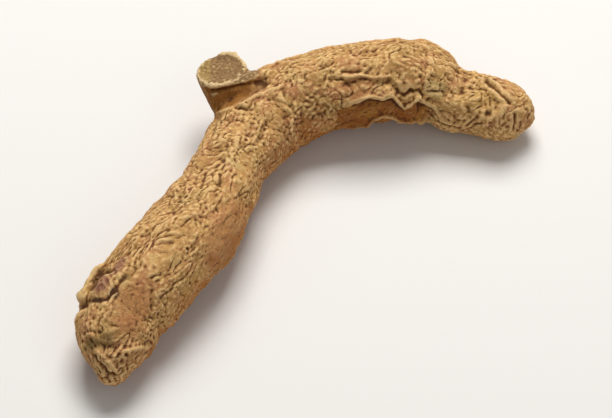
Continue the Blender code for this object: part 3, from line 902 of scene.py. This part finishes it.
@dataclass
class Rhizome:
    """The whole rhizome: its limbs, grown together under one wrinkled skin.

    The finger runs from its thick tip over the bend to its shoulder, and the knob lies beyond. The
    stump is a side shoot at the bend, with a torn ledge beside it, and the scale is a torn strip
    beside the thick tip. The crisp, fine and wide rounds even the skin out further and further,
    and the masks "nick", "hollow" and "dip" are how far each vertex has moved outwards by then.
    """

    finger: tuple[Station, ...] = (
        (-32.3, -34.9, 4.7, 1.4),
        (-32.5, -33.4, 5.4, 2.95),
        (-32.6, -31.1, 6.1, 4.85),
        (-32.6, -27.0, 6.6, 6.7),
        (-30.5, -20.9, 7.4, 7.8),
        (-24.6, -12.6, 9.0, 8.1),
        (-18.9, -4.5, 9.1, 7.8),
        (-14.6, 5.6, 8.4, 6.6),
        (-11.0, 15.6, 7.1, 7.3),
        (-5.2, 22.8, 7.2, 7.6),
        (2.7, 26.7, 8.3, 7.4),
        (10.8, 28.0, 8.9, 7.4),
        (17.3, 28.8, 8.8, 7.7),
        (21.1, 28.9, 8.3, 7.4),
        (24.2, 28.1, 7.9, 6.1),
        (25.9, 27.6, 7.4, 4.2),
        (27.1, 27.2, 7.3, 1.8),
    )
    knob: tuple[Station, ...] = (
        (19.4, 27.5, 7.4, 3.6),
        (25.9, 26.6, 6.6, 5.6),
        (31.4, 25.6, 5.6, 5.7),
        (35.3, 24.6, 5.3, 5.7),
        (38.4, 23.2, 5.0, 4.4),
        (39.7, 22.5, 4.9, 2.9),
        (40.3, 22.0, 4.9, 1.4),
    )
    stump: tuple[Station, ...] = (
        (-8.0, 17.2, 7.6, 5.2),
        (-10.9, 20.8, 9.4, 5.1),
        (-13.4, 24.5, 11.2, 4.7),
        (-15.0, 26.9, 13.3, 4.6),
        (-15.7, 28.0, 16.0, 4.6),
    )
    ledge: tuple[Station, ...] = (
        (-12.4, 24.9, 13.8, 1.4),
        (-10.4, 25.0, 13.9, 1.5),
        (-8.4, 25.3, 13.7, 1.6),
        (-6.8, 25.7, 13.3, 1.5),
        (-5.0, 26.0, 12.9, 1.4),
    )
    scale: tuple[Station, ...] = (
        (-34.6, -15.0, 11.9, 0.6),
        (-35.5, -16.4, 12.2, 0.65),
        (-36.8, -18.8, 12.0, 0.6),
        (-37.7, -20.6, 11.4, 0.75),
        (-37.9, -21.4, 11.0, 0.85),
        (-37.4, -22.6, 10.2, 0.7),
    )
    voxel: float = 0.285
    blend_factor: float = 0.5
    blend_rounds: int = 18
    crisp_rounds: int = 4
    fine_rounds: int = 10
    wide_rounds: int = 110
    relief: SkinRelief = field(default_factory=SkinRelief)

    def build(self) -> bpy.types.Object:
        """Grows, wrinkles and places the rhizome, and measures the masks for its colours.

        Returns:
            The finished piece.
        """
        limbs = {
            LimbName.FINGER: Limb(self.finger),
            LimbName.KNOB: Limb(self.knob),
            LimbName.STUMP: Limb(self.stump),
        }
        whole = [limbs[LimbName.FINGER].tube(), limbs[LimbName.KNOB].tube()]
        small = [Limb(self.ledge).tube(), Limb(self.scale).tube()]
        stump = self.relief.face.snapped(limbs[LimbName.STUMP])
        body = self.grown_together([*whole, stump, *small])
        points, normals = self.read(body)
        heights, masks = self.relief.measure(points, limbs)
        points += normals * heights[:, None]
        points[:, 2] = np.maximum(points[:, 2], 0.0)
        points = self.fitted(points)
        body.data.vertices.foreach_set("co", (points * MM).ravel())
        body.data.update()
        body.data.shade_smooth()
        masks |= self.hollows(body)
        for name, values in masks.items():
            layer = body.data.attributes.new(name, "FLOAT", "POINT")
            layer.data.foreach_set("value", values.astype(np.float32))
        return body

    def grown_together(self, meshes: list[bpy.types.Mesh]) -> bpy.types.Object:
        """Puts one closed, eased skin round all the meshes.

        Args:
            meshes: The limbs' meshes, which are used up.

        Returns:
            The object with that skin.
        """
        shape = bmesh.new()
        for mesh in meshes:
            shape.from_mesh(mesh)
            bpy.data.meshes.remove(mesh)
        bmesh.ops.remove_doubles(shape, verts=shape.verts, dist=MERGE_DISTANCE)
        body = linked("rhizome_skin", bpy.data.meshes.new("rhizome_skin"))
        shape.to_mesh(body.data)
        shape.free()
        grow = body.modifiers.new("grow_together", "REMESH")
        grow.mode = "VOXEL"
        grow.voxel_size = self.voxel * MM
        ease = body.modifiers.new("ease", "SMOOTH")
        ease.factor = self.blend_factor
        ease.iterations = self.blend_rounds
        graph = bpy.context.evaluated_depsgraph_get()
        old, body.data = body.data, bpy.data.meshes.new_from_object(body.evaluated_get(graph))
        body.modifiers.clear()
        bpy.data.meshes.remove(old)
        return body

    def read(self, body: bpy.types.Object) -> tuple[np.ndarray, np.ndarray]:
        """Reads an object's vertices.

        Args:
            body: The object.

        Returns:
            Their x, y and z in millimetres, and their normals.
        """
        count = len(body.data.vertices)
        places, normals = np.empty(count * 3), np.empty(count * 3)
        body.data.vertices.foreach_get("co", places)
        body.data.vertices.foreach_get("normal", normals)
        return places.reshape(-1, 3) / MM, normals.reshape(-1, 3)

    def fitted(self, points: np.ndarray) -> np.ndarray:
        """Moves the skin to where the solid is, and inside its box.

        Args:
            points: Rows of x, y and z.

        Returns:
            The moved points.
        """
        low, high = (np.array(corner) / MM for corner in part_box("rhizome"))
        centre = (points.min(0) + points.max(0)) / 2
        size = points.max(0) - points.min(0)
        scale = np.minimum((high - low) / size, 1.0)
        log.info("fitted by %s", np.round(scale, 4))
        moved = (points - centre) * scale + (low + high) / 2
        moved[:, 2] = (points[:, 2] - points[:, 2].min()) * scale[2]
        return moved

    def hollows(self, body: bpy.types.Object) -> dict[str, np.ndarray]:
        """How sunken each vertex is against the skin around it, nearby and further off.

        Args:
            body: The finished skin.

        Returns:
            The masks "nick", "hollow" and "dip", in millimetres: above nothing in a hollow, and
            below it on a crest.
        """
        points, normals = self.read(body)
        count = len(points)
        ends = np.empty(len(body.data.edges) * 2, np.int32)
        body.data.edges.foreach_get("vertices", ends)
        first, second = ends.reshape(-1, 2).T
        valence = np.bincount(first, minlength=count) + np.bincount(second, minlength=count)

        def spread(values: np.ndarray, rounds: int) -> np.ndarray:
            """Evens out values between neighbours.

            Args:
                values: One value a vertex.
                rounds: How many times.

            Returns:
                The evened values.
            """
            for _ in range(rounds):
                total = np.bincount(first, weights=values[second], minlength=count)
                total += np.bincount(second, weights=values[first], minlength=count)
                values = 0.5 * values + 0.5 * total / valence
            return values

        masks, even = {}, points
        for name, rounds in (
            ("nick", self.crisp_rounds),
            ("hollow", self.fine_rounds),
            ("dip", self.wide_rounds),
        ):
            even = np.column_stack([spread(even[:, axis], rounds) for axis in range(3)])
            masks[name] = np.einsum("ij,ij->i", even - points, normals)
            log.info("%s from %.3f to %.3f mm", name, *np.quantile(masks[name], (0.05, 0.95)))
        return masks


class NodeSheet:
    """A material's or a group's nodes, with a method for each kind that is used."""

    LAYOUT_STEP = (180, 160)
    LAYOUT_ROWS = 5
    # A mix node has sockets for each kind of data. These are the ones for colours.
    MIX_INPUTS = (0, 6, 7)
    MIX_RESULT = 2

    def __init__(self, tree: bpy.types.NodeTree) -> None:
        """Starts on a node tree, and empties it."""
        self.tree = tree
        tree.nodes.clear()

    def add(
        self, kind: str, inputs: dict[str | int, Value] | None = None, **settings: object
    ) -> bpy.types.Node:
        """Adds a node of this kind.

        Args:
            kind: Blender's name of the node.
            inputs: A value or a source for each input, by its name or number.
            **settings: Properties of the node to set.

        Returns:
            The node.
        """
        column = len(self.tree.nodes)
        right, down = self.LAYOUT_STEP
        node = self.tree.nodes.new(kind)
        node.location = (column * right, -(column % self.LAYOUT_ROWS) * down)
        for name, value in settings.items():
            setattr(node, name, value)
        for name, value in (inputs or {}).items():
            if isinstance(value, Socket):
                self.tree.links.new(value, node.inputs[name])
            else:
                node.inputs[name].default_value = value
        return node

    def mask(self, name: str) -> Socket:
        """One of the masks that the mesh carries."""
        node = self.add("ShaderNodeAttribute", attribute_type="GEOMETRY", attribute_name=name)
        return node.outputs["Fac"]

    def math(self, operation: str, *values: Value) -> Socket:
        """The result of a sum on one to three values."""
        node = self.add("ShaderNodeMath", dict(enumerate(values)), operation=operation)
        return node.outputs[0]

    def ramp(
        self, value: Value, start: Value, end: Value, low: float = 0.0, high: float = 1.0
    ) -> Socket:
        """The value eased from low at start to high at end.

        Args:
            value: What to read.
            start: The value that gives low.
            end: The value that gives high.
            low: The first result.
            high: The last result.

        Returns:
            The eased value.
        """
        names = ("Value", "From Min", "From Max", "To Min", "To Max")
        inputs = dict(zip(names, (value, start, end, low, high)))
        node = self.add("ShaderNodeMapRange", inputs, interpolation_type="SMOOTHSTEP")
        return node.outputs["Result"]

    def blend(self, share: Value, first: Value, second: Value, kind: str = "MIX") -> Socket:
        """A colour between two others.

        Args:
            share: Nothing for the first colour, one for the second.
            first: The first colour.
            second: The second colour.
            kind: Blender's name for how they blend.

        Returns:
            The blended colour.
        """
        inputs = dict(zip(self.MIX_INPUTS, (share, first, second)))
        node = self.add("ShaderNodeMix", inputs, data_type="RGBA", blend_type=kind)
        return node.outputs[self.MIX_RESULT]

    def noise(
        self, spacing: Value, detail: float = 3.0, roughness: float = 0.55, shift: float = 0.0
    ) -> Socket:
        """Cloudy noise in the object's own space.

        Args:
            spacing: Distance between clouds in millimetres.
            detail: How many finer layers it has.
            roughness: How strong the finer layers are.
            shift: How many metres the noise is moved, so that no two fields are alike.

        Returns:
            The noise, about 0.5.
        """
        place = self.add("ShaderNodeTexCoord").outputs["Object"]
        if shift:
            inputs = {0: place, 1: (shift, -shift, 0.5 * shift)}
            place = self.add("ShaderNodeVectorMath", inputs, operation="ADD").outputs[0]
        if isinstance(spacing, Socket):
            scale = self.math("DIVIDE", 1 / MM, spacing)
        else:
            scale = 1 / MM / spacing
        inputs = {"Vector": place, "Scale": scale, "Detail": detail, "Roughness": roughness}
        return self.add("ShaderNodeTexNoise", inputs).outputs["Fac"]

    def use(self, group: bpy.types.NodeTree, *values: Value) -> Socket:
        """The first output of a node group that is given these values, in its own order."""
        return self.add("ShaderNodeGroup", dict(enumerate(values)), node_tree=group).outputs[0]


def new_group(name: str, colours: tuple[str, ...], numbers: tuple[str, ...]) -> NodeSheet:
    """Starts a node group that gives one colour.

    Args:
        name: Its name.
        colours: Names of the colours that it takes.
        numbers: Names of the numbers that it takes, which come after the colours.

    Returns:
        The sheet of its nodes.
    """
    group = bpy.data.node_groups.new(name, "ShaderNodeTree")
    for kind, names in (("NodeSocketColor", colours), ("NodeSocketFloat", numbers)):
        for label in names:
            group.interface.new_socket(label, in_out="INPUT", socket_type=kind)
    group.interface.new_socket("Colour", in_out="OUTPUT", socket_type="NodeSocketColor")
    return NodeSheet(group)


@functools.cache
def blotch_group() -> bpy.types.NodeTree:
    """Blotches of a second colour in a first one, used wherever skin or flesh varies.

    Returns:
        The node group, with Colour, Blotch, Spacing, Cover and Strength in, and Colour out.
    """
    sheet = new_group("blotches", ("Colour", "Blotch"), ("Spacing", "Cover", "Strength"))
    given = sheet.add("NodeGroupInput").outputs
    cloud = sheet.noise(given["Spacing"], detail=4.0, roughness=0.6)
    low = sheet.math("SUBTRACT", 0.62, sheet.math("MULTIPLY", given["Cover"], 0.3))
    share = sheet.ramp(cloud, low, sheet.math("ADD", low, 0.2))
    share = sheet.math("MULTIPLY", share, given["Strength"])
    result = sheet.blend(share, given["Colour"], given["Blotch"])
    sheet.add("NodeGroupOutput", {"Colour": result})
    return sheet.tree


@functools.cache
def crease_shade_and_highlight_group() -> bpy.types.NodeTree:
    """Painted shade in creases, nicks and wide dips, and painted highlights on crests, from how
    sunken the skin is.

    Returns:
        The node group, with Colour, Crease, Crest, Nick, Hollow, Dip, Depth and Wear in, and
        Colour out.
    """
    numbers = ("Nick", "Hollow", "Dip", "Depth", "Highlight")
    sheet = new_group("creases", ("Colour", "Crease", "Crest"), numbers)
    given = sheet.add("NodeGroupInput").outputs
    mask_jitter = sheet.math("MULTIPLY_ADD", sheet.noise(0.5, detail=2.0), 0.04, -0.02)
    crisp = sheet.math("ADD", given["Nick"], mask_jitter)
    # Painted highlight: paler where the skin stands out from the skin around it.
    crest = sheet.ramp(given["Hollow"], -0.02, -0.18)
    crest = sheet.math("MAXIMUM", sheet.ramp(crisp, -0.008, -0.055), crest)
    painted_highlight = sheet.math("MULTIPLY", crest, given["Highlight"])
    colour = sheet.blend(painted_highlight, given["Colour"], given["Crest"])
    # Painted shade: darker in nicks, hollows and wide dips, where shade falls.
    hollow = sheet.ramp(given["Hollow"], 0.02, 0.17)
    hollow = sheet.math("MAXIMUM", sheet.ramp(crisp, 0.008, 0.065), hollow)
    hollow = sheet.math("MAXIMUM", hollow, sheet.ramp(given["Dip"], 0.05, 0.65, 0.0, 0.75))
    dark = sheet.math("MULTIPLY", hollow, given["Depth"])
    sheet.add("NodeGroupOutput", {"Colour": sheet.blend(dark, colour, given["Crease"])})
    return sheet.tree


@dataclass(frozen=True)
class DriedSkin:
    """The rhizome's finish: dull tan skin with painted shade in its creases and underneath, painted
    highlights on its crests, and its bare and broken places.
    """

    tan: Colour = paint(194, 147, 87)
    olive: Colour = paint(156, 120, 62)
    mossy: Colour = paint(122, 100, 54)
    pink: Colour = paint(184, 122, 82)
    brown: Colour = paint(142, 88, 40)
    cream: Colour = paint(212, 178, 114)
    # Painted highlight on crests.
    crest: Colour = paint(232, 192, 132)
    # Painted shade in creases and hollows.
    crease: Colour = paint(84, 42, 10)
    ruddy: Colour = paint(174, 117, 70)
    golden: Colour = paint(200, 156, 88)
    pale: Colour = paint(200, 174, 114)
    purple: Colour = paint(122, 72, 62)
    # Painted shadow in grooves and gaps.
    dark: Colour = paint(48, 28, 14)
    neck: Colour = paint(138, 86, 24)
    seam: Colour = paint(142, 80, 20)
    seam_tan: Colour = paint(168, 116, 42)
    # Painted highlight on the seam's raised edges.
    lip: Colour = paint(206, 180, 132)
    # Painted shade towards the underside.
    low: Colour = paint(166, 96, 20)
    flesh: Colour = paint(140, 108, 68)
    flesh_dark: Colour = paint(110, 80, 48)
    bevel: Colour = paint(160, 132, 76)
    # Paler snapped rim, partly its own colour and partly a painted highlight where it stands out.
    rim: Colour = paint(214, 188, 142)
    scar: Colour = paint(112, 80, 42)
    ash: Colour = paint(172, 127, 78)
    roughness: float = 0.82
    unevenness: float = 0.1
    shine: float = 0.3
    grain_strength: float = 0.8
    grain_depth: float = 0.16

    def material(self) -> bpy.types.Material:
        """Builds the skin's material.

        Returns:
            The material.
        """
        material = bpy.data.materials.new("dried_skin")
        material.use_nodes = True
        sheet = NodeSheet(material.node_tree)
        least, most = self.roughness - self.unevenness, self.roughness + self.unevenness
        inputs = {
            "Base Color": self.creased(sheet, self.regions(sheet)),
            "Roughness": sheet.ramp(sheet.noise(1.1, shift=0.4), 0.3, 0.7, least, most),
            "Specular IOR Level": self.shine,
            "Normal": self.bump(sheet),
        }
        shader = sheet.add("ShaderNodeBsdfPrincipled", inputs)
        sheet.add("ShaderNodeOutputMaterial", {"Surface": shader.outputs[0]})
        return material

    def regions(self, sheet: NodeSheet) -> Socket:
        """The skin's colour before the painted shade of its creases: clouds of tan and brown, each
        marked place, painted shade towards the underside and in small grooves and gaps, and painted
        highlights on the seam's raised edges and on the snapped rim.

        Args:
            sheet: The material's nodes.

        Returns:
            The colour.
        """
        blotches, colour = blotch_group(), self.tan
        for blotch, spacing, cover, strength in (
            (self.brown, 5.0, 0.5, 0.6),
            (self.olive, 4.6, 0.6, 0.6),
            (self.pink, 3.3, 0.5, 0.55),
            (self.cream, 2.4, 0.4, 0.5),
        ):
            colour = sheet.use(blotches, colour, blotch, spacing, cover, strength)
        inside = sheet.use(blotches, self.seam, self.seam_tan, 3.0, 0.5, 0.8)
        edge = sheet.math("MULTIPLY_ADD", sheet.noise(2.2, shift=0.7), 1.4, -0.7)
        for name, tint, strength in (
            ("golden", self.golden, 0.5),
            ("ruddy", self.ruddy, 0.6),
            ("tip", self.ash, 0.6),
            ("pale", self.pale, 0.6),
            ("mossy", self.mossy, 0.6),
            ("purple", self.purple, 0.75),
            # Painted shade towards the underside.
            ("under", self.low, 0.85),
            ("seam", inside, 0.9),
            ("neck", self.neck, 0.95),
            ("scar", self.scar, 0.8),
            # Painted shadow in grooves and gaps.
            ("dark", self.dark, 0.9),
            # Painted highlight on the seam's raised edges.
            ("lip", self.lip, 0.35),
        ):
            share = sheet.math("ADD", sheet.mask(name), edge)
            colour = sheet.blend(sheet.ramp(share, 0.2, 0.9, 0.0, strength), colour, tint)
        flesh = sheet.use(blotches, self.flesh, self.flesh_dark, 1.6, 0.5, 0.45)
        bevelled = sheet.ramp(sheet.mask("bevel"), 0.2, 0.8, 0.0, 0.7)
        flesh = sheet.blend(bevelled, flesh, self.bevel)
        colour = sheet.blend(sheet.ramp(sheet.mask("face"), 0.35, 0.65), colour, flesh)
        # The snapped rim is paler where it stands out: partly its own paler colour, partly a
        # painted highlight.
        raised = sheet.ramp(sheet.mask("hollow"), -0.03, -0.14, 0.0, 0.9)
        torn = sheet.math("MULTIPLY", raised, sheet.ramp(sheet.mask("rim"), 0.3, 0.8))
        return sheet.blend(torn, colour, self.rim)

    def creased(self, sheet: NodeSheet, colour: Value) -> Socket:
        """The colour with painted shade in creases and hollows, painted highlights on crests, and
        fine specks.

        Args:
            sheet: The material's nodes.
            colour: The colour before.

        Returns:
            The colour after.
        """
        # Painted highlights are held back on the snapped face, in the seam, on the neck, on the
        # underside and on bare skin, and painted shade is weaker on the face.
        unhighlighted = sheet.math("MULTIPLY", sheet.mask("face"), 0.6)
        for name in ("seam", "neck", "under", "bare"):
            unhighlighted = sheet.math("MAXIMUM", unhighlighted, sheet.mask(name))
        highlight_strength = sheet.ramp(unhighlighted, 0.1, 0.9, 0.72, 0.1)
        depth = sheet.ramp(sheet.mask("face"), 0.1, 0.9, 0.85, 0.4)
        sunken = [sheet.mask(name) for name in ("nick", "hollow", "dip")]
        colour = sheet.use(crease_shade_and_highlight_group(), colour, self.crease, self.crest, *sunken, depth, highlight_strength)
        specks = sheet.ramp(sheet.noise(0.35, detail=2.0, shift=1.3), 0.3, 0.7, 0.86, 1.12)
        grey = sheet.add("ShaderNodeCombineColor", dict.fromkeys(("Red", "Green", "Blue"), specks))
        return sheet.blend(1.0, colour, grey.outputs[0], "MULTIPLY")

    def bump(self, sheet: NodeSheet) -> Socket:
        """The grain that is finer than the mesh.

        Args:
            sheet: The material's nodes.

        Returns:
            The normal.
        """
        fine = sheet.noise(0.32, detail=3.0, roughness=0.6, shift=0.2)
        coarse = sheet.noise(0.9, detail=2.0, shift=0.9)
        inputs = {
            "Strength": self.grain_strength,
            "Distance": self.grain_depth * MM,
            "Height": sheet.math("MULTIPLY_ADD", coarse, 1.5, fine),
        }
        return sheet.add("ShaderNodeBump", inputs).outputs["Normal"]


@dataclass
class Studio:
    """The floor, the lights and the camera, in metres and watts."""

    floor_size: float = 6.0
    floor_colour: Colour = paint(232, 229, 224)
    floor_roughness: float = 0.9
    key_place: Point = (0.02, 0.34, 0.56)
    key_size: float = 0.36
    key_power: float = 4.6
    fill_place: Point = (0.45, -0.6, 0.5)
    fill_size: float = 0.8
    fill_power: float = 1.15
    sky: float = 0.24
    target: Point = (-0.0009, -0.0006, 0.008)
    distance: float = 0.6
    elevation: float = 52.0
    view_width: float = 0.1071
    sensor_width: float = 36.0

    def build_floor(self) -> bpy.types.Object:
        """Lays the plain pale floor.

        Returns:
            The floor.
        """
        half = self.floor_size / 2
        mesh = bpy.data.meshes.new("floor")
        corners = [(-half, -half, 0.0), (half, -half, 0.0), (half, half, 0.0), (-half, half, 0.0)]
        mesh.from_pydata(corners, [], [(0, 1, 2, 3)])
        material = bpy.data.materials.new("floor")
        material.use_nodes = True
        shader = material.node_tree.nodes["Principled BSDF"]
        shader.inputs["Base Color"].default_value = self.floor_colour
        shader.inputs["Roughness"].default_value = self.floor_roughness
        mesh.materials.append(material)
        return linked("floor", mesh)

    def aim(self, thing: bpy.types.Object) -> None:
        """Turns a light or a camera towards the rhizome."""
        towards = Vector(self.target) - thing.location
        thing.rotation_euler = towards.to_track_quat("-Z", "Y").to_euler()

    def build_lights(self) -> None:
        """Hangs the two soft lights and sets the pale surroundings."""
        for name, place, size, power in (
            ("key", self.key_place, self.key_size, self.key_power),
            ("fill", self.fill_place, self.fill_size, self.fill_power),
        ):
            data = bpy.data.lights.new(name, "AREA")
            data.size = size
            data.energy = power
            lamp = linked(name, data)
            lamp.location = place
            self.aim(lamp)
        world = bpy.data.worlds.new("studio")
        world.use_nodes = True
        sky = world.node_tree.nodes["Background"]
        sky.inputs["Color"].default_value = (1.0, 1.0, 1.0, 1.0)
        sky.inputs["Strength"].default_value = self.sky
        bpy.context.scene.world = world
        bpy.context.scene.view_settings.view_transform = "Standard"

    def build_camera(self) -> None:
        """Sets the camera up in front of the rhizome, looking down on it."""
        data = bpy.data.cameras.new("camera")
        data.sensor_width = self.sensor_width
        data.lens = self.sensor_width * self.distance / self.view_width
        camera = linked("camera", data)
        lift = math.radians(self.elevation)
        back = Vector((0.0, -math.cos(lift), math.sin(lift)))
        camera.location = Vector(self.target) + back * self.distance
        self.aim(camera)
        bpy.context.scene.camera = camera


def main() -> None:
    """Builds the studio and the rhizome, in order."""
    logging.basicConfig(level=logging.INFO, format="%(name)s: %(message)s")
    studio = Studio()
    studio.build_floor()
    studio.build_lights()
    studio.build_camera()
    log.info("studio ready")
    skin = Rhizome().build()
    skin.data.materials.append(DriedSkin().material())
    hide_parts("rhizome")
    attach(skin, "root")
    log.info("%s has %d faces", skin.name, len(skin.data.polygons))


if __name__ == "__main__":
    main()
